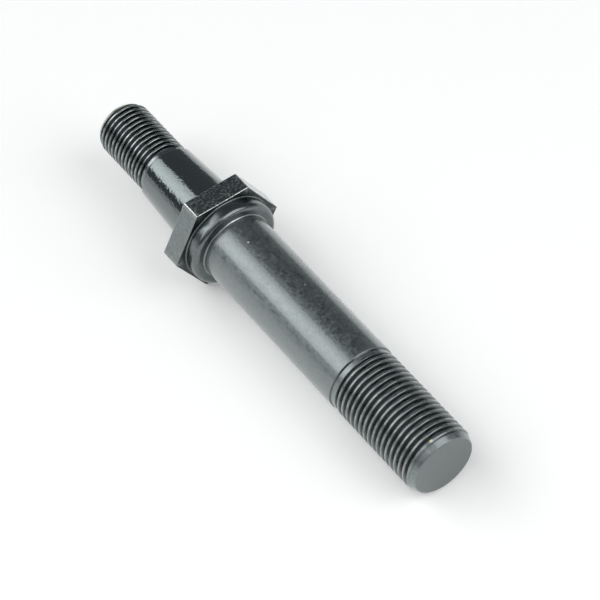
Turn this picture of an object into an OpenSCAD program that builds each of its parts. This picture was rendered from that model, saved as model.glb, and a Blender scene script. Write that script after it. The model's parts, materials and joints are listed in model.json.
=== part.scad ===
// Tapered stud, turned from hexagon bar in one piece. The plain shank and its thread carry a rod end
// against the collar, and the taper beyond the hexagon is drawn into a tapered hole by the small
// thread. Sizes are in millimetres. Stations along the stud are counted from the large thread's end
// face. The stud lies at rest on one flat of its hexagon and on the end of its large thread.

/* [Large thread] */
// Diameter over the crests of the large thread
large_thread_d = 15.72; // [14:0.02:15.84]
// Pitch of the large thread, eighteen to the inch
large_pitch = 1.411; // [0.8:0.001:2]
// Length from the end face to the shank
large_thread_l = 26.97; // [12:0.01:45]
// Length of the plain neck between the thread and the shank's shoulder
large_neck_l = 1.6; // [0.2:0.05:4]

/* [Shank] */
// Diameter of the plain shank
shank_d = 15.86; // [15.74:0.02:18]
// Length of the plain shank, up to the collar's seat
shank_l = 43.5; // [20:0.1:90]

/* [Collar] */
// Diameter of the round collar
collar_d = 20.6; // [20:0.1:22]
// Thickness of the collar, from its seat to the hexagon
collar_t = 3.18; // [1.6:0.02:6]
// Radius of the collar's rounded outer edge
collar_edge_r = 1.1; // [0.2:0.02:1.2]
// Radius of the fillet between the shank and the collar's seat
seat_fillet_r = 0.3; // [0.1:0.05:1]
// Radius of the fillet between the collar and the hexagon
hex_fillet_r = 0.28; // [0.05:0.01:0.45]

/* [Hexagon] */
// Width across the flats
hex_af = 22.2; // [21.6:0.1:26]
// Amount by which the corners are broken, measured along the radius
corner_break = 0.07; // [0.02:0.01:0.6]
// Thickness of the hexagon
hex_t = 4.76; // [3:0.02:12]

/* [Taper] */
// Diameter of the taper where it leaves the hexagon
taper_d = 15.85; // [15:0.05:18]
// Length of the taper
taper_l = 16.95; // [8:0.05:25]
// Length over which the taper's diameter falls by one unit
taper_ratio = 8; // [6:0.5:12]

/* [Small thread] */
// Diameter over the crests of the small thread
small_thread_d = 12.64; // [11.6:0.02:13]
// Pitch of the small thread, twenty to the inch
small_pitch = 1.27; // [0.8:0.01:1.8]
// Length from the taper's end to the end face
small_thread_l = 18.4; // [10:0.05:35]
// Length of the plain neck between the taper's shoulder and the thread
small_neck_l = 0.72; // [0.2:0.02:4]

/* [Thread ends] */
// Angle of the end chamfers to the stud's axis
lead_angle = 24.5; // [20:0.5:45]
// Depth of the necks below the thread crests
neck_drop = 0.22; // [0.05:0.01:0.6]
// Angle of the shoulders at both ends of the necks
shoulder_angle = 45; // [30:1:60]

/* [Hidden] */
$fn = 96;
black_oxide = [0.2, 0.21, 0.21];

// Depth of a sixty-degree thread as a share of its pitch
depth_per_pitch = 0.6134;
large_depth = depth_per_pitch * large_pitch;
small_depth = depth_per_pitch * small_pitch;

large_r = large_thread_d / 2;
shank_r = shank_d / 2;
collar_r = collar_d / 2;
hex_sharp_r = hex_af / 2 / cos(30);
taper_r = taper_d / 2;
taper_end_r = taper_r - taper_l / taper_ratio / 2;
small_r = small_thread_d / 2;

large_neck_r = large_r - neck_drop;
small_neck_r = small_r - neck_drop;

// The fillet under the hexagon ends inside the flats
hex_fillet = min(hex_fillet_r, hex_af / 2 - collar_r);

// The lead chamfers go down to the thread roots
large_root_r = large_r - large_depth;
small_root_r = small_r - small_depth;
large_lead_l = large_depth / tan(lead_angle);
small_lead_l = small_depth / tan(lead_angle);

// Stations along the stud
shank_start = large_thread_l;
seat = shank_start + shank_l;
hex_start = seat + collar_t;
taper_start = hex_start + hex_t;
taper_end = taper_start + taper_l;
stud_l = taper_end + small_thread_l;

// Necks: from the shoulder's foot, along the neck, and up to the thread's crest
large_neck_end = shank_start - (shank_r - large_neck_r) / tan(shoulder_angle);
large_neck_start = large_neck_end - large_neck_l;
large_crest_end = large_neck_start - neck_drop / tan(shoulder_angle);
small_neck_start = taper_end + (taper_end_r - small_neck_r) / tan(shoulder_angle);
small_neck_end = small_neck_start + small_neck_l;
small_crest_start = small_neck_end + neck_drop / tan(shoulder_angle);

// At rest the hexagon's flat touches with its collar-side edge, and the large thread with the crest
// next to its lead chamfer, so the stud's axis rises towards the small end by this angle
rest_tilt = atan((hex_af / 2 - large_r) / (hex_start - large_lead_l));
rest_h = hex_af / 2 * cos(rest_tilt) - hex_start * sin(rest_tilt);
rest_low_x = -large_root_r * sin(rest_tilt);
rest_high_x = stud_l * cos(rest_tilt) + small_root_r * sin(rest_tilt);
rest_mid_x = (rest_low_x + rest_high_x) / 2;

// Half section of the threaded and plain end, from the end face to the collar's seat
module shank_section() {
    polygon([
        [0, 0],
        [large_root_r, 0],
        [large_r, large_lead_l],
        [large_r, large_crest_end],
        [large_neck_r, large_neck_start],
        [large_neck_r, large_neck_end],
        [shank_r, shank_start],
        [shank_r, hex_start],
        [0, hex_start]
    ]);
}

// Fillet that fills the corner between a cylinder and the face that it runs into
module fillet_section(cylinder_r, face, fillet_r) {
    difference() {
        translate([0, face - fillet_r])
            square([cylinder_r + fillet_r, fillet_r]);
        translate([cylinder_r + fillet_r, face - fillet_r])
            circle(fillet_r);
    }
}

// Half section of the collar, with its outer edge rounded on the seat's side
module collar_section() {
    intersection() {
        translate([0, seat])
            square([collar_r, collar_t]);
        union() {
            translate([0, seat])
                square([collar_r - collar_edge_r, collar_t]);
            translate([0, seat + collar_edge_r])
                square([collar_r, collar_t]);
            translate([collar_r - collar_edge_r, seat + collar_edge_r])
                circle(collar_edge_r);
        }
    }
}

// Half section of the tapered end, from inside the hexagon to the small end face
module taper_section() {
    polygon([
        [0, hex_start],
        [taper_r, hex_start],
        [taper_r, taper_start],
        [taper_end_r, taper_end],
        [small_neck_r, small_neck_start],
        [small_neck_r, small_neck_end],
        [small_r, small_crest_start],
        [small_r, stud_l - small_lead_l],
        [small_root_r, stud_l],
        [0, stud_l]
    ]);
}

// Slice of the hexagon bar, with its corners lightly broken and a flat facing local +X
module hexagon() {
    translate([0, 0, hex_start])
        intersection() {
            rotate(30)
                cylinder(r = hex_sharp_r, h = hex_t, $fn = 6);
            cylinder(r = hex_sharp_r - corner_break, h = hex_t);
        }
}

module stud() {
    color(black_oxide)
        translate([-rest_mid_x, 0, rest_h])
            rotate([0, 90 - rest_tilt, 0]) {
                rotate_extrude() {
                    shank_section();
                    fillet_section(shank_r, seat, seat_fillet_r);
                    collar_section();
                    fillet_section(collar_r, hex_start, hex_fillet);
                    taper_section();
                }
                hexagon();
            }
}

stud();
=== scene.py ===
import bmesh
import bpy
import json
import math
from mathutils import Matrix, Quaternion, Vector


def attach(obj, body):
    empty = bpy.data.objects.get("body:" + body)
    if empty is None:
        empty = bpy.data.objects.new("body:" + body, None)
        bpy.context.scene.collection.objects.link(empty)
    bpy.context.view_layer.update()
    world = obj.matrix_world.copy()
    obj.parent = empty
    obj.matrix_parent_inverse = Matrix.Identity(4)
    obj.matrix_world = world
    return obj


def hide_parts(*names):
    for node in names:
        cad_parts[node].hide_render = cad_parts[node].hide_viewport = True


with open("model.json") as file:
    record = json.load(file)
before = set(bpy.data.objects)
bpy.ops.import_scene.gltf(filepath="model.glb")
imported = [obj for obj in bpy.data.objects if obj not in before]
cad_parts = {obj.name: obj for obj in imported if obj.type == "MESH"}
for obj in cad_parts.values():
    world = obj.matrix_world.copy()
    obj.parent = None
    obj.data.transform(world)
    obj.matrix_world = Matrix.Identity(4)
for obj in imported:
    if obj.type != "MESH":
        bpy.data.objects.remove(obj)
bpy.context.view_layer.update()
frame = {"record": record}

# The stud is one piece of steel, turned from hexagon bar. It lies on one flat of its hexagon and on its
# large thread, so its axis is not level: the frame's mounts give the axis, and the taper's wide end
# lies on it. Lengths below are millimetres along it, counted from the large thread's end face.
MM_PER_M = 1000
TAPER_START = 78.41
STUD_L = 113.76
mounts = {mount["name"]: mount for mount in frame["record"]["mounts"]}
along = Vector(mounts["taper_seat"]["axis"]).normalized()
upward = Vector(mounts["hexagon_flat"]["axis"]).normalized()
across = along.cross(upward)
start_point = Vector(mounts["taper_seat"]["pos_m"]) - along * TAPER_START / MM_PER_M
end_point = start_point + along * STUD_L / MM_PER_M

# The two threads: fine right-hand sixty-degree threads, rolled into the turned blank. The large one's
# groove starts shallow on its chamfer, the small one's comes through to its end face, and both run out
# on the plain neck at their inner end. One tree of nodes makes both, from the end face inwards.
COLUMNS = 120
ROWS_PER_PITCH = 16
# Turns laid before the end face, which close up on the thread's first ring
SPARE_TURNS = 2
# Share of the groove's depth that still counts as crest
CREST_DEEP = 0.2
# Points of the wound grid that lie closer than this are one
WELD = 0.001

thread_tree = bpy.data.node_groups.new("Rolled thread", "GeometryNodeTree")
thread_inputs = {}
for name, kind in (
    ("Pitch", "Float"), ("Crest Radius", "Float"), ("Depth", "Float"), ("Crest Phase", "Float"),
    ("From", "Float"), ("To", "Float"), ("Chamfer Slope", "Float"), ("Groove Starts", "Float"),
    ("Groove Full", "Float"), ("Groove Fades", "Float"), ("Groove Gone", "Float"),
    ("Crest Ends", "Float"), ("Neck Radius", "Float"), ("Face Radius", "Float"),
    ("Crest Half", "Float"), ("Root From", "Float"), ("Satin", "Float"), ("Polish", "Float"),
    ("Turns", "Int"), ("Columns", "Int"), ("Rows", "Int"), ("Material", "Material"),
):
    thread_inputs[name] = thread_tree.interface.new_socket(
        name=name, in_out="INPUT", socket_type="NodeSocket" + kind).identifier
thread_tree.interface.new_socket(name="Mesh", in_out="OUTPUT", socket_type="NodeSocketGeometry")
thread_in = thread_tree.nodes.new("NodeGroupInput").outputs


def wire(tree, socket, value):
    """Links an output to a socket, or sets the socket to a plain value."""
    if isinstance(value, bpy.types.NodeSocket):
        tree.links.new(value, socket)
    else:
        socket.default_value = value


def calc(tree, operation, *values):
    """One Math node on sockets or numbers."""
    node = tree.nodes.new("ShaderNodeMath")
    node.operation = operation
    for socket, value in zip(node.inputs, values):
        wire(tree, socket, value)
    return node.outputs[0]


def ramp(tree, value, low, high, at_low, at_high):
    """One clamped Map Range node."""
    node = tree.nodes.new("ShaderNodeMapRange")
    for socket, setting in zip(node.inputs[:5], (value, low, high, at_low, at_high)):
        wire(tree, socket, setting)
    return node.outputs[0]


def thread(operation, *values):
    """One Math node in the thread's tree."""
    return calc(thread_tree, operation, *values)


# A flat grid, wound on: each point has its share of a turn and its station on the stud
grid = thread_tree.nodes.new("GeometryNodeMeshGrid")
all_rows = thread("MULTIPLY", thread_in["Rows"], thread_in["Turns"])
wire(thread_tree, grid.inputs["Vertices X"], thread("ADD", thread_in["Columns"], 1))
wire(thread_tree, grid.inputs["Vertices Y"], thread("ADD", all_rows, 1))
flat = thread_tree.nodes.new("ShaderNodeSeparateXYZ")
wire(thread_tree, flat.inputs[0], thread_tree.nodes.new("GeometryNodeInputPosition").outputs[0])
turn = thread("ADD", flat.outputs["X"], 0.5)
length_share = thread("ADD", flat.outputs["Y"], 0.5)
row = thread("SUBTRACT", thread("MULTIPLY", length_share, thread_in["Turns"]), SPARE_TURNS)
climb = thread("MULTIPLY", thread("ADD", row, turn), thread_in["Pitch"])
helix = thread("ADD", climb, thread_in["Crest Phase"])
station = thread("MINIMUM", thread("MAXIMUM", helix, thread_in["From"]), thread_in["To"])
# Distance from the nearest crest in pitches: flat crest, thirty-degree flank, narrow root
from_first_crest = thread("SUBTRACT", station, thread_in["Crest Phase"])
lap = thread("SUBTRACT", thread("DIVIDE", from_first_crest, thread_in["Pitch"]), turn)
off_crest = thread("ABSOLUTE", thread("SUBTRACT", lap, thread("ROUND", lap)))
share = ramp(thread_tree, off_crest, thread_in["Crest Half"], thread_in["Root From"], 0, 1)
starting = ramp(thread_tree, station, thread_in["Groove Starts"], thread_in["Groove Full"], 0, 1)
ending = ramp(thread_tree, station, thread_in["Groove Fades"], thread_in["Groove Gone"], 1, 0)
formed = thread("MULTIPLY", starting, ending)
deep = thread("MULTIPLY", share, formed)
# The blank's own section: the chamfer, the crests, and the shoulder down to the neck
groove_r = thread("SUBTRACT", thread_in["Crest Radius"], thread("MULTIPLY", deep, thread_in["Depth"]))
chamfer_rise = thread("MULTIPLY", station, thread_in["Chamfer Slope"])
chamfer_r = thread("ADD", thread_in["Face Radius"], chamfer_rise)
past_crests = thread("MAXIMUM", thread("SUBTRACT", station, thread_in["Crest Ends"]), 0)
shoulder_r = thread("SUBTRACT", thread_in["Crest Radius"], past_crests)
neck_r = thread("MAXIMUM", shoulder_r, thread_in["Neck Radius"])
radius = thread("MINIMUM", thread("MINIMUM", groove_r, chamfer_r), neck_r)
angle = thread("MULTIPLY", turn, math.tau)
wound = thread_tree.nodes.new("ShaderNodeCombineXYZ")
wire(thread_tree, wound.inputs["X"], thread("MULTIPLY", radius, thread("COSINE", angle)))
wire(thread_tree, wound.inputs["Y"], thread("MULTIPLY", radius, thread("SINE", angle)))
wire(thread_tree, wound.inputs["Z"], station)
# Marks for the finish: how deep the groove is, where the oxide is satin, and where crests are rubbed
crest = ramp(thread_tree, deep, 0, CREST_DEEP, 1, 0)
rubbed_crest = thread("MULTIPLY", thread("MULTIPLY", crest, formed), thread_in["Polish"])
marked = grid.outputs["Mesh"]
for name, value in (("groove", deep), ("satin", thread_in["Satin"]), ("polish", rubbed_crest)):
    mark = thread_tree.nodes.new("GeometryNodeStoreNamedAttribute")
    mark.data_type = "FLOAT"
    mark.domain = "POINT"
    mark.inputs["Name"].default_value = name
    wire(thread_tree, mark.inputs["Value"], value)
    wire(thread_tree, mark.inputs["Geometry"], marked)
    marked = mark.outputs[0]
shaped = thread_tree.nodes.new("GeometryNodeSetPosition")
wire(thread_tree, shaped.inputs["Geometry"], marked)
wire(thread_tree, shaped.inputs["Position"], wound.outputs[0])
welded = thread_tree.nodes.new("GeometryNodeMergeByDistance")
wire(thread_tree, welded.inputs["Geometry"], shaped.outputs[0])
wire(thread_tree, welded.inputs["Distance"], WELD)
realized = thread_tree.nodes.new("GeometryNodeRealizeInstances")
wire(thread_tree, realized.inputs["Geometry"], welded.outputs[0])
painted = thread_tree.nodes.new("GeometryNodeSetMaterial")
wire(thread_tree, painted.inputs["Geometry"], realized.outputs[0])
wire(thread_tree, painted.inputs["Material"], thread_in["Material"])
wire(thread_tree, thread_tree.nodes.new("NodeGroupOutput").inputs[0], painted.outputs[0])

LARGE_R = 7.86
LARGE_FACE_R = 6.9945
LARGE_NECK_R = 7.64
LARGE_FROM = 0.35
LARGE_TO = 26.3
SMALL_R = 6.32
SMALL_FACE_R = 5.541
SMALL_NECK_R = 6.1
SMALL_FROM = 0.2
SMALL_TO = 17.56
CHAMFER_SLOPE = math.tan(math.radians(24.5))
black_oxide = bpy.data.materials.new("black_oxide")
large_sizes = {
    "Pitch": 1.411, "Crest Radius": LARGE_R, "Depth": 0.8, "Crest Phase": 0.53, "Crest Half": 0.12,
    "Root From": 0.43, "From": LARGE_FROM, "To": LARGE_TO, "Groove Starts": 1.1, "Groove Full": 2.0,
    "Groove Fades": 25.3, "Groove Gone": 25.9, "Crest Ends": 24.86, "Neck Radius": LARGE_NECK_R,
    "Face Radius": LARGE_FACE_R, "Satin": 1.0, "Polish": 0.5, "Turns": 21,
}
small_sizes = {
    "Pitch": 1.27, "Crest Radius": SMALL_R, "Depth": 0.75, "Crest Phase": 0.51, "Crest Half": 0.12,
    "Root From": 0.41, "From": SMALL_FROM, "To": SMALL_TO, "Groove Starts": -1.0, "Groove Full": 0.4,
    "Groove Fades": 16.8, "Groove Gone": 17.5, "Crest Ends": 16.69, "Neck Radius": SMALL_NECK_R,
    "Face Radius": SMALL_FACE_R, "Satin": 0.0, "Polish": 1.0, "Turns": 16,
}
shared_sizes = {
    "Chamfer Slope": CHAMFER_SLOPE, "Columns": COLUMNS, "Rows": ROWS_PER_PITCH, "Material": black_oxide,
}


def placed(origin, x_axis, y_axis, z_axis):
    """Matrix from millimetres in a turned piece's own axes to metres in the part's frame."""
    matrix = Matrix.Identity(4)
    for column, axis in enumerate((x_axis, y_axis, z_axis)):
        matrix.col[column][:3] = axis / MM_PER_M
    matrix.col[3][:3] = origin
    return matrix


stud = bmesh.new()
for name, sizes, matrix in (
    ("large_thread", large_sizes, placed(start_point, upward, across, along)),
    ("small_thread", small_sizes, placed(end_point, upward, -across, -along)),
):
    blank = bpy.data.objects.new(name, bpy.data.meshes.new(name))
    bpy.context.scene.collection.objects.link(blank)
    rolling = blank.modifiers.new("Rolled thread", "NODES")
    rolling.node_group = thread_tree
    for key, value in (sizes | shared_sizes).items():
        rolling[thread_inputs[key]] = value
    evaluated = blank.evaluated_get(bpy.context.evaluated_depsgraph_get())
    rolled = bpy.data.meshes.new_from_object(evaluated)
    rolled.transform(matrix)
    stud.from_mesh(rolled)
    bpy.data.objects.remove(blank)
    bpy.data.meshes.remove(rolled)

# The turned body: shank, collar and taper are cut from the bar in one setting, with lightly broken
# edges, and the hexagon between collar and taper is what is left of the bar itself. Each row of
# points is a ring round the axis, and every corner is an arc with a ring on either side to hold it.
LARGE_FACE_EDGE_R = 0.42
SHANK_START = 26.97
SHANK_R = 7.93
SHOULDER_R = 0.1
LARGE_NECK_END = SHANK_START - (SHANK_R - LARGE_NECK_R)
SEAT = 70.47
SEAT_FILLET_R = 0.3
COLLAR_R = 10.3
COLLAR_EDGE_R = 1.1
HEX_START = 73.65
HEX_FILLET_R = 0.28
HEX_FLAT_R = 11.1
HEX_CORNER_BREAK = 0.072
HEX_CORNER_R = HEX_FLAT_R / math.cos(math.radians(30)) - HEX_CORNER_BREAK
HEX_EDGE_R = 0.13
TAPER_R = 7.925
TAPER_FILLET_R = 0.15
TAPER_END = 95.36
TAPER_RATIO = 8
TAPER_END_R = TAPER_R - (TAPER_END - TAPER_START) / TAPER_RATIO / 2
TAPER_EDGE_R = 0.06
SMALL_NECK_START = TAPER_END + TAPER_END_R - SMALL_NECK_R
SMALL_NECK_FILLET_R = 0.05
SMALL_FACE_EDGE_R = 0.15
# Rings that only divide a flat face: at the end faces' middle, and on either side of the hexagon
MIDDLE_R = 0.8
COLLAR_SIDE_R = 10.8
TAPER_SIDE_R = 10.5
HOLD = 0.05


def rounded(corners, steps=4):
    """Points along a section whose corners (station, radius, rounding) become arcs."""
    points = [Vector(corners[0][:2])]
    for before, corner, after in zip(corners, corners[1:], corners[2:]):
        here = Vector(corner[:2])
        inward = (Vector(before[:2]) - here).normalized()
        outward = (Vector(after[:2]) - here).normalized()
        half = inward.angle(outward) / 2
        reach = corner[2] / math.tan(half)
        centre = here + (inward + outward).normalized() * corner[2] / math.sin(half)
        first = here + inward * reach - centre
        last = here + outward * reach - centre
        points.append(here + inward * (reach + HOLD))
        for step in range(steps + 1):
            points.append(centre + first.slerp(last, step / steps) * corner[2])
        points.append(here + outward * (reach + HOLD))
    return points + [Vector(corners[-1][:2])]


# Marks for the finish, each from 0 to 1 on every point
marks = {name: stud.verts.layers.float.new(name) for name in ("ground", "bar", "wear_and_highlight", "dull_and_painted_shade")}
marks |= {name: stud.verts.layers.float[name] for name in ("satin", "groove")}
# How near to a face's station a point still lies on it
ON_FACE = 0.01


def dullness_and_painted_shade(station):
    """How dull the black is and how much painted shade darkens it: most on the bar's turned face, less on
    the collar and large end face.
    """
    if HEX_START - ON_FACE < station < HEX_START + 2 * ON_FACE:
        return 1
    if SEAT - ON_FACE < station < HEX_START:
        return 0.4
    return 0.3 if station < 2 * ON_FACE else 0


def ring(station, point_at, mark=None):
    """One ring of points; point_at gives (angle, radius, wear or painted highlight, share of the mark)
    for a column.
    """
    made = []
    for column in range(COLUMNS):
        turned, r, wear_and_highlight, share = point_at(column)
        off_axis = (upward * math.cos(turned) + across * math.sin(turned)) * r
        point = stud.verts.new(start_point + (along * station + off_axis) / MM_PER_M)
        if mark:
            point[marks[mark]] = share
        point[marks["wear_and_highlight"]] = wear_and_highlight
        point[marks["dull_and_painted_shade"]] = dullness_and_painted_shade(station)
        made.append(point)
    return made


def round_ring(station, r, mark=None, wear_and_highlight=0.0):
    """A round ring, with its wear, which is a painted highlight, on a short arc at the top."""
    def place(column):
        turned = math.tau * column / COLUMNS
        near_top = max(0, math.cos(turned + 0.03)) ** 12
        return turned, r, wear_and_highlight * near_top, 1

    return ring(station, place, mark)


def shank_ring(station, r):
    """A ring from the neck to the collar: satin, with a dark film as a painted shadow at the shoulder's
    foot, and a painted highlight along the seat fillet's top.
    """
    if station > SEAT - 0.9 * SEAT_FILLET_R:
        # The seat fillet's top: wear that is a painted highlight
        return round_ring(station, r, wear_and_highlight=0.55 if station < SEAT - ON_FACE else 0)
    # The shoulder's foot gets the groove's dark film as a painted shadow line under its step
    at_foot = abs(station - LARGE_NECK_END) < 0.8 * SHOULDER_R
    return round_ring(station, r, "groove" if at_foot else "satin")


def taper_ring(station, r):
    """A ring from the hexagon to the small neck, ground smooth on the taper itself."""
    return round_ring(station, r, "ground" if TAPER_START < station < TAPER_END + 2 * ON_FACE else None)


# Wear of the bar's edges, from the upper flat round: at the collar, at the taper, and of the corner
# before each flat
COLLAR_EDGES = (1, 0.25, 0.5, 0.4, 0.3, 0.05)
TAPER_EDGES = (0.3, 0.2, 0.4, 0.3, 0.5, 0.15)
CORNERS = (0.8, 0.3, 0.4, 0.6, 0.3, 0.4)
# Rolled skin left on each flat
SKIN = (1, 0.6, 0.8, 0.7, 0.8, 0.25)
# Degrees from a corner of the columns that are drawn together there
NEAR_CORNER = (0, 0.28, 0.55, 0.8)


def hex_ring(station, inset, wear=(0,) * 6):
    """A ring on the bar's six flats, with its columns drawn together at the corners."""
    half_side = COLUMNS // 12
    plain_columns = half_side - len(NEAR_CORNER) + 1

    def place(column):
        side, step = divmod(column + half_side, 2 * half_side)
        offset = step - half_side
        gap = half_side - abs(offset)
        wear_and_highlight = wear[side % 6]
        if gap < len(NEAR_CORNER):
            degrees = 30 - NEAR_CORNER[gap]
            corner = (side if offset < 0 else side + 1) % 6
            wear_and_highlight = max(wear_and_highlight, CORNERS[corner] * (1 if gap < 2 else 0.3))
        else:
            degrees = abs(offset) * (30 - NEAR_CORNER[-1]) / plain_columns
        degrees = math.copysign(degrees, offset)
        r = min(HEX_FLAT_R / math.cos(math.radians(degrees)), HEX_CORNER_R)
        return math.radians(side * 60 + degrees), r - inset, wear_and_highlight, SKIN[side % 6]

    return ring(station, place, "bar")


def bridge(rings):
    """Faces between each ring and the next."""
    for lower, upper in zip(rings, rings[1:]):
        for column in range(COLUMNS):
            following = (column + 1) % COLUMNS
            stud.faces.new((lower[column], lower[following], upper[following], upper[column]))


large_cap = rounded((
    (0, MIDDLE_R), (0, LARGE_FACE_R, LARGE_FACE_EDGE_R),
    (LARGE_FROM, LARGE_FACE_R + LARGE_FROM * CHAMFER_SLOPE)))
shank = rounded((
    (LARGE_TO, LARGE_NECK_R), (LARGE_NECK_END, LARGE_NECK_R, SHOULDER_R),
    (SHANK_START, SHANK_R, SHOULDER_R), (SEAT, SHANK_R, SEAT_FILLET_R), (SEAT, COLLAR_R, COLLAR_EDGE_R),
    (HEX_START, COLLAR_R, HEX_FILLET_R), (HEX_START, COLLAR_SIDE_R)), 6)
taper = rounded((
    (TAPER_START, TAPER_SIDE_R), (TAPER_START, TAPER_R, TAPER_FILLET_R),
    (TAPER_END, TAPER_END_R, TAPER_EDGE_R), (SMALL_NECK_START, SMALL_NECK_R, SMALL_NECK_FILLET_R),
    (STUD_L - SMALL_TO, SMALL_NECK_R)))
small_cap = rounded((
    (STUD_L - SMALL_FROM, SMALL_FACE_R + SMALL_FROM * CHAMFER_SLOPE),
    (STUD_L, SMALL_FACE_R, SMALL_FACE_EDGE_R), (STUD_L, MIDDLE_R)))
# Setbacks of a quarter round from a face and from a side, as shares of its radius
quarter = [(1 - math.cos(turned), 1 - math.sin(turned)) for turned in (math.pi / 8 * i for i in range(5))]
hexagon = [hex_ring(HEX_START, HEX_EDGE_R + HOLD)]
for rise, inset in quarter:
    hexagon.append(hex_ring(HEX_START + HEX_EDGE_R * rise, HEX_EDGE_R * inset, COLLAR_EDGES))
hexagon.append(hex_ring(HEX_START + HEX_EDGE_R + HOLD, 0))
hexagon.append(hex_ring(TAPER_START - HEX_EDGE_R - HOLD, 0))
for inset, drop in quarter:
    hexagon.append(hex_ring(TAPER_START - HEX_EDGE_R * drop, HEX_EDGE_R * inset, TAPER_EDGES))
hexagon.append(hex_ring(TAPER_START, HEX_EDGE_R + HOLD))
large_rings = [round_ring(*point, "satin") for point in large_cap]
shank_rings = [shank_ring(*point) for point in shank]
taper_rings = [taper_ring(*point) for point in taper]
small_rings = [round_ring(*point) for point in small_cap]
bridge(large_rings)
bridge(shank_rings + hexagon + taper_rings)
bridge(small_rings)
stud.faces.new(large_rings[0])
stud.faces.new(small_rings[-1])
# The threads and the body share their end rings: points closer than this, in metres, are one
SEAM = 2e-7
bmesh.ops.remove_doubles(stud, verts=stud.verts, dist=SEAM)
bmesh.ops.recalc_face_normals(stud, faces=stud.faces)
stud_mesh = bpy.data.meshes.new("stud_turned")
stud.to_mesh(stud_mesh)
stud.free()
stud_mesh.shade_smooth()
stud_mesh.materials.append(black_oxide)
turned_stud = bpy.data.objects.new("stud_turned", stud_mesh)
bpy.context.scene.collection.objects.link(turned_stud)
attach(turned_stud, "root")
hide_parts("stud")

# The finish: a thin semi-gloss black oxide over machined steel, cloudy on the shank, smooth and slightly
# pitted on the taper, flatter and painted darker as shade on the collar, the bar's turned face and the
# large end face, and thin over the bar's rolled skin. The hexagon's edges and the thread crests are
# rubbed, the seat fillet has a painted highlight along its top and the small end's rim a painted
# reflection, and the grooves and the shoulder's foot hold a dark film of oil, partly painted shade.
THICK_OXIDE = (0.154, 0.179, 0.181, 1)
THIN_OXIDE = (0.254, 0.286, 0.286, 1)
TAPER_DARK = (0.114, 0.135, 0.136, 1)
TAPER_PALE = (0.134, 0.157, 0.158, 1)
ROLLED_SKIN = (0.05, 0.056, 0.054, 1)
# Painted shade for the duller faces
PAINTED_SHADE_BLACK = (0.05, 0.057, 0.057, 1)
CREST_DARK = (0.13, 0.148, 0.15, 1)
CREST_BRIGHT = (0.39, 0.42, 0.42, 1)
# Dark oil film with painted shade, for the groove roots and the shoulder's foot
OIL_AND_PAINTED_SHADE = (0.02, 0.022, 0.024, 1)
# Bare steel of rubbed edges, also a painted highlight on the seat fillet
BARE_STEEL_AND_HIGHLIGHT = (0.74, 0.75, 0.74, 1)
# Pale painted reflection on the small end's rim
PAINTED_RIM_REFLECTION = (0.78, 0.76, 0.62, 1)
# The rim's stations and radii, each from none to the full painted reflection
RIM_STATIONS = (113.1, 113.4)
RIM_RADII = (5.2, 5.5)
black_oxide.use_nodes = True
paint = black_oxide.node_tree
bsdf = paint.nodes["Principled BSDF"]


def vector(tree, operation, *values):
    """One Vector Math node on sockets or constants."""
    node = tree.nodes.new("ShaderNodeVectorMath")
    node.operation = operation
    for socket, value in zip(node.inputs, values):
        wire(tree, socket, value)
    return node.outputs["Value" if operation in ("DOT_PRODUCT", "DISTANCE", "LENGTH") else "Vector"]


def noise(tree, position, per_mm, detail, rough=0.5):
    """Noise with features of about one over per_mm millimetres."""
    node = tree.nodes.new("ShaderNodeTexNoise")
    wire(tree, node.inputs["Vector"], position)
    wire(tree, node.inputs["Scale"], per_mm)
    wire(tree, node.inputs["Detail"], detail)
    wire(tree, node.inputs["Roughness"], rough)
    return node.outputs["Fac"]


def blend(factor, first, second):
    """One colour Mix node in the finish."""
    node = paint.nodes.new("ShaderNodeMix")
    node.data_type = "RGBA"
    wire(paint, node.inputs["Factor"], factor)
    wire(paint, node.inputs["A"], first)
    wire(paint, node.inputs["B"], second)
    return node.outputs["Result"]


def product(first, second):
    """One mask times another, or times a number, in the finish."""
    return calc(paint, "MULTIPLY", first, second)


def weigh(start, *terms):
    """Sum of a starting value and of (mask, weight) products in the finish."""
    total = start
    for mask, weight in terms:
        total = calc(paint, "ADD", total, product(mask, weight))
    return total


def group(name, outputs, inputs=()):
    """An empty shader node group and its input and output nodes."""
    tree = bpy.data.node_groups.new(name, "ShaderNodeTree")
    for socket, kind in inputs:
        tree.interface.new_socket(name=socket, in_out="INPUT", socket_type="NodeSocket" + kind)
    for socket, kind in outputs:
        tree.interface.new_socket(name=socket, in_out="OUTPUT", socket_type="NodeSocket" + kind)
    return tree, tree.nodes.new("NodeGroupInput"), tree.nodes.new("NodeGroupOutput")


def use(made):
    """Places a shader node group in the finish."""
    node = paint.nodes.new("ShaderNodeGroup")
    node.node_tree = made
    return node


def stored(name):
    """A mark that the mesh stores on its points."""
    node = paint.nodes.new("ShaderNodeAttribute")
    node.attribute_name = name
    return node.outputs["Fac"]


# Position in millimetres along and round the stud
lathe, _, lathe_out = group("Stud position", [("Position", "Vector")])
in_frame = lathe.nodes.new("ShaderNodeTexCoord").outputs["Object"]
offset = vector(lathe, "SUBTRACT", in_frame, tuple(start_point))
axes = lathe.nodes.new("ShaderNodeCombineXYZ")
for socket, axis in zip(axes.inputs, (along, upward, across)):
    wire(lathe, socket, vector(lathe, "DOT_PRODUCT", offset, tuple(axis * MM_PER_M)))
wire(lathe, lathe_out.inputs["Position"], axes.outputs[0])

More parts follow.
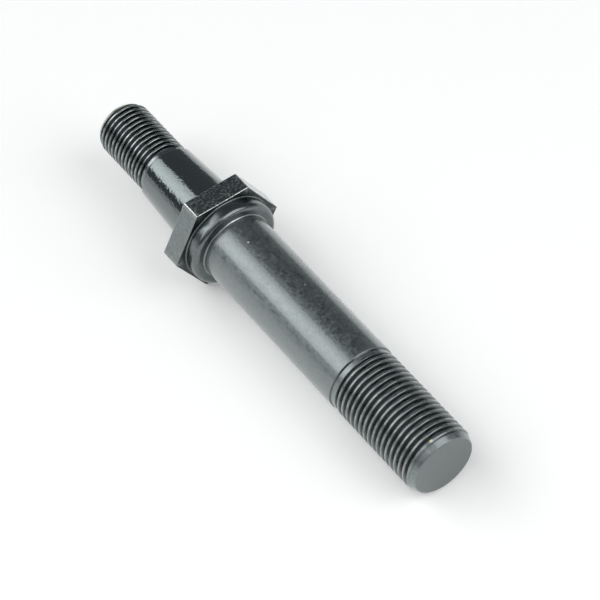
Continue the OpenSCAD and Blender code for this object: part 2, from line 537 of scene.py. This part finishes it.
# Cloudy oxide: how thick it lies, the unevenness of the skin under it, and small marks in it
clouds, clouds_in, clouds_out = group(
    "Oxide clouds",
    [(name, "Float") for name in ("Cloud", "Height", "Ripple", "Speck", "Glint", "Pit")],
    [("Position", "Vector")])
at = clouds_in.outputs["Position"]
thickness = 0.0
for per_mm, detail, rough, weight in ((0.5, 3.0, 0.6, 0.25), (1.3, 3.0, 0.6, 0.5), (3.5, 1.0, 0.5, 0.25)):
    layer = noise(clouds, at, per_mm, detail, rough)
    thickness = calc(clouds, "MULTIPLY_ADD", layer, weight, thickness)
wire(clouds, clouds_out.inputs["Cloud"], thickness)
wire(clouds, clouds_out.inputs["Height"], noise(clouds, at, 2.2, 2.0, 0.55))
wire(clouds, clouds_out.inputs["Ripple"], noise(clouds, at, 1.5, 1.0))
for name, per_mm, detail, rough, low, high in (
    ("Speck", 2.1, 3.0, 0.6, 0.48, 0.64),
    ("Glint", 0.7, 2.0, 0.6, 0.38, 0.62),
    ("Pit", 3.2, 1.0, 0.5, 0.7, 0.74),
):
    scattered = noise(clouds, at, per_mm, detail, rough)
    wire(clouds, clouds_out.inputs[name], ramp(clouds, scattered, low, high, 0, 1))

spot = use(lathe).outputs["Position"]
cloud = use(clouds)
wire(paint, cloud.inputs["Position"], spot)
satin = stored("satin")
ground_taper = stored("ground")
bar = stored("bar")
wear_and_highlight = stored("wear_and_highlight")
groove = stored("groove")
polish = stored("polish")
dull_and_painted_shade = stored("dull_and_painted_shade")

# Colour: the oxide of each surface, oil and painted shade in the grooves, painted shade on the duller
# faces, and bare steel on the edges, with painted light at the seat and the small end's rim
thin = ramp(paint, cloud.outputs["Cloud"], 0.34, 0.66, 0, 1)
uneven_ground = ramp(paint, cloud.outputs["Height"], 0.3, 0.7, 0, 1)
unspecked = calc(paint, "SUBTRACT", 1, cloud.outputs["Speck"])
patchy = ramp(paint, noise(paint, spot, 1.2, 3.0), 0.35, 0.6, 0.3, 1)
metal = blend(thin, THICK_OXIDE, THIN_OXIDE)
metal = blend(product(ground_taper, 0.9), metal, blend(uneven_ground, TAPER_DARK, TAPER_PALE))
metal = blend(product(product(bar, unspecked), 0.55), metal, ROLLED_SKIN)
# Painted shade: the duller faces are darkened towards flat black, partly a duller finish
metal = blend(product(dull_and_painted_shade, 0.9), metal, PAINTED_SHADE_BLACK)
metal = blend(polish, metal, blend(cloud.outputs["Glint"], CREST_DARK, CREST_BRIGHT))
# Dark oil film in the groove roots and at the shoulder's foot, deepened as painted shade
metal = blend(ramp(paint, groove, 0, 0.3, 0, 0.66), metal, OIL_AND_PAINTED_SHADE)
# Bare steel on rubbed edges, and a painted highlight along the seat fillet's top
metal = blend(product(wear_and_highlight, patchy), metal, BARE_STEEL_AND_HIGHLIGHT)
# Nicks, two on the shank and one at the large thread's start: station, degrees from the top, radius,
# size and colour
nicked = 0.0
for nick_station, degrees, r, size, colour in (
    (63.97, -5, SHANK_R, 0.32, (0.8, 0.82, 0.82, 1)),
    (48, 15, SHANK_R, 0.28, (0.6, 0.62, 0.62, 1)),
    (2.07, -11, 7.7, 0.55, (0.9, 0.86, 0.55, 1)),
):
    turned = math.radians(degrees)
    nick_at = (nick_station, r * math.cos(turned), r * math.sin(turned))
    nick = ramp(paint, vector(paint, "DISTANCE", spot, nick_at), size * 0.4, size, 1, 0)
    metal = blend(nick, metal, colour)
    nicked = calc(paint, "ADD", nicked, nick)
# The small end's rim: a pale painted reflection round its chamfer
lengthwise = paint.nodes.new("ShaderNodeSeparateXYZ")
wire(paint, lengthwise.inputs[0], spot)
on_chamfer = ramp(paint, lengthwise.outputs["X"], *RIM_STATIONS, 0, 0.9)
off_axis = vector(paint, "LENGTH", vector(paint, "MULTIPLY", spot, (0, 1, 1)))
at_rim = ramp(paint, off_axis, *RIM_RADII, 0, 1)
metal = blend(product(on_chamfer, at_rim), metal, PAINTED_RIM_REFLECTION)
wire(paint, bsdf.inputs["Base Color"], metal)
bsdf.inputs["Metallic"].default_value = 1

# Gloss and relief
uneven = product(calc(paint, "SUBTRACT", thin, 0.5), satin)
scaly = product(bar, cloud.outputs["Speck"])
pitted = product(ground_taper, cloud.outputs["Pit"])
roughness = weigh(
    0.25, (satin, 0.18), (ground_taper, -0.15), (polish, -0.13), (groove, -0.1), (uneven, 0.36),
    (scaly, 0.45), (pitted, 0.5), (nicked, 0.2))
wire(paint, bsdf.inputs["Roughness"], roughness)
coat = weigh(0.55, (satin, 0.3), (ground_taper, 0.35), (bar, 0.45), (dull_and_painted_shade, -0.9))
wire(paint, bsdf.inputs["Coat Weight"], coat)
bsdf.inputs["Coat IOR"].default_value = 1.5
bsdf.inputs["Coat Roughness"].default_value = 0.06
relief = paint.nodes.new("ShaderNodeBump")
relief.inputs["Distance"].default_value = 0.01 / MM_PER_M
rough_skin = product(cloud.outputs["Height"], weigh(0.0, (satin, 3.5), (bar, 1.2)))
rippled = product(cloud.outputs["Ripple"], ground_taper)
wire(paint, relief.inputs["Height"], weigh(rough_skin, (rippled, 5.5)))
wire(paint, bsdf.inputs["Normal"], relief.outputs[0])

# The ground: a sweep of plain white paper, level under the stud. Its rim curves up, most towards the
# softbox, so that it fills the view and the low reflections. It is stage, and no part of the stud.
SWEEP_COLUMNS = 96
TOWARDS_KEY = math.radians(45)
# Radius, height, and further height towards the softbox, in metres
SWEEP_ROWS = (
    (0.3, 0, 0), (0.46, 0.004, 0), (0.54, 0.015, 0.012), (0.59, 0.024, 0.04), (0.62, 0.03, 0.08))
sweep = bmesh.new()
sweep_rings = []
for r, z, more in SWEEP_ROWS:
    sweep_ring = []
    for column in range(SWEEP_COLUMNS):
        turned = math.tau * column / SWEEP_COLUMNS
        facing_key = ((1 + math.cos(turned - TOWARDS_KEY)) / 2) ** 2
        corner = (r * math.cos(turned), r * math.sin(turned), z + more * facing_key)
        sweep_ring.append(sweep.verts.new(corner))
    sweep_rings.append(sweep_ring)
sweep.faces.new(sweep_rings[0])
for lower, upper in zip(sweep_rings, sweep_rings[1:]):
    for column in range(SWEEP_COLUMNS):
        following = (column + 1) % SWEEP_COLUMNS
        sweep.faces.new((lower[column], upper[column], upper[following], lower[following]))
bmesh.ops.recalc_face_normals(sweep, faces=sweep.faces)
sweep_mesh = bpy.data.meshes.new("sweep")
sweep.to_mesh(sweep_mesh)
sweep.free()
white_sweep = bpy.data.objects.new("sweep", sweep_mesh)
bpy.context.scene.collection.objects.link(white_sweep)
white = bpy.data.materials.new("white_sweep")
white.use_nodes = True
white_tree = white.node_tree
white_bsdf = white_tree.nodes["Principled BSDF"]
white_bsdf.inputs["Base Color"].default_value = (0.95, 0.95, 0.945, 1)
white_bsdf.inputs["Roughness"].default_value = 0.9
white_bsdf.inputs["Specular IOR Level"].default_value = 0
white_bsdf.inputs["Emission Color"].default_value = (1, 1, 0.985, 1)
# White that the camera and the reflections see beyond what the lamps give
GLOW = 0.18
ray = white_tree.nodes.new("ShaderNodeLightPath").outputs
seen = calc(white_tree, "MAXIMUM", ray["Is Camera Ray"], ray["Is Glossy Ray"])
seen = calc(white_tree, "MAXIMUM", seen, ray["Is Transmission Ray"])
wire(white_tree, white_bsdf.inputs["Emission Strength"], calc(white_tree, "MULTIPLY", seen, GLOW))
sweep_mesh.materials.append(white)

# The light: an upright softbox at the picture's left with a hot centre, a lamp overhead, one at the right
# in front, a faint wall behind the camera, and a dim room. Places are in metres, directions in degrees.
world = bpy.data.worlds.new("room")
world.use_nodes = True
room = world.node_tree.nodes["Background"]
room.inputs["Color"].default_value = (0.9, 1, 1.06, 1)
room.inputs["Strength"].default_value = 0.165
bpy.context.scene.world = world


def direction(azimuth, elevation):
    """Unit vector; azimuth 0 is +Y and grows towards +X."""
    az, el = math.radians(azimuth), math.radians(elevation)
    return Vector((math.sin(az) * math.cos(el), math.cos(az) * math.cos(el), math.sin(el)))


def lamp(name, place, outward, width, height, radiance):
    """A flat lamp of even radiance at a place, with its back turned outward."""
    made = bpy.data.lights.new(name, "AREA")
    made.shape = "RECTANGLE"
    made.size = width
    made.size_y = height
    made.energy = radiance * math.pi * width * height
    held = bpy.data.objects.new(name, made)
    held.location = place
    held.rotation_euler = outward.to_track_quat("Z", "Y").to_euler()
    bpy.context.scene.collection.objects.link(held)
    return made


def aimed_lamp(name, azimuth, elevation, distance, width, height, radiance):
    """A flat lamp that faces the stud from a direction."""
    outward = direction(azimuth, elevation)
    lamp(name, outward * distance, outward, width, height, radiance)


def softbox(name, facing, distance, left, right, low, high, radiance, hot, fall):
    """A standing lamp between two azimuths and two heights, falling off round a hot spot."""
    def sideways_to(azimuth):
        return math.tan(math.radians(azimuth - facing)) * distance

    outward = direction(facing, 0)
    sideways = Vector((outward.y, -outward.x, 0))
    x0 = sideways_to(left)
    width = sideways_to(right) - x0
    height = high - low
    place = outward * distance + sideways * (x0 + width / 2) + Vector((0, 0, (low + high) / 2))
    made = lamp(name, place, outward, width, height, radiance)
    made.use_nodes = True
    tree = made.node_tree
    on_box = tree.nodes.new("ShaderNodeNewGeometry").outputs["Parametric"]
    centre = (1 - (sideways_to(hot[0]) - x0) / width, (hot[1] - low) / height, 0)
    away = vector(tree, "MULTIPLY", vector(tree, "SUBTRACT", on_box, centre), (width, height, 0))
    strength = ramp(tree, vector(tree, "LENGTH", away), 0, distance, 1, 1 - fall)
    wire(tree, tree.nodes["Emission"].inputs["Strength"], strength)


softbox("key", 40, 0.6, left=-2, right=84.5, low=0.31, high=1.3, radiance=2.65, hot=(47, 0.52), fall=0.45)
aimed_lamp("top", -20, 68, 0.9, width=0.6, height=0.5, radiance=1.3)
aimed_lamp("right_front", -120, 43, 0.9, width=0.72, height=0.8, radiance=2.2)
aimed_lamp("wall", -42, 42, 1.1, width=0.8, height=0.6, radiance=0.45)

# The camera: a long lens a little under six tenths of a metre from the stud, at the photograph's viewing
# angle. It looks down steeply across the stud, with the large end nearer, and is rolled a few degrees.
camera = bpy.data.objects.new("camera", bpy.data.cameras.new("camera"))
camera.data.sensor_width = 36
camera.data.lens = 163.40
camera.data.clip_start = 0.05
camera.location = (-0.3186575, 0.1777613, 0.4321237)
looking = direction(119.9275, -49.5041)
roll = Quaternion((0, 0, 1), math.radians(-7.5644))
camera.rotation_mode = "QUATERNION"
camera.rotation_quaternion = looking.to_track_quat("-Z", "Y") @ roll
bpy.context.scene.collection.objects.link(camera)
bpy.context.scene.camera = camera
bpy.context.scene.view_settings.view_transform = "Standard"
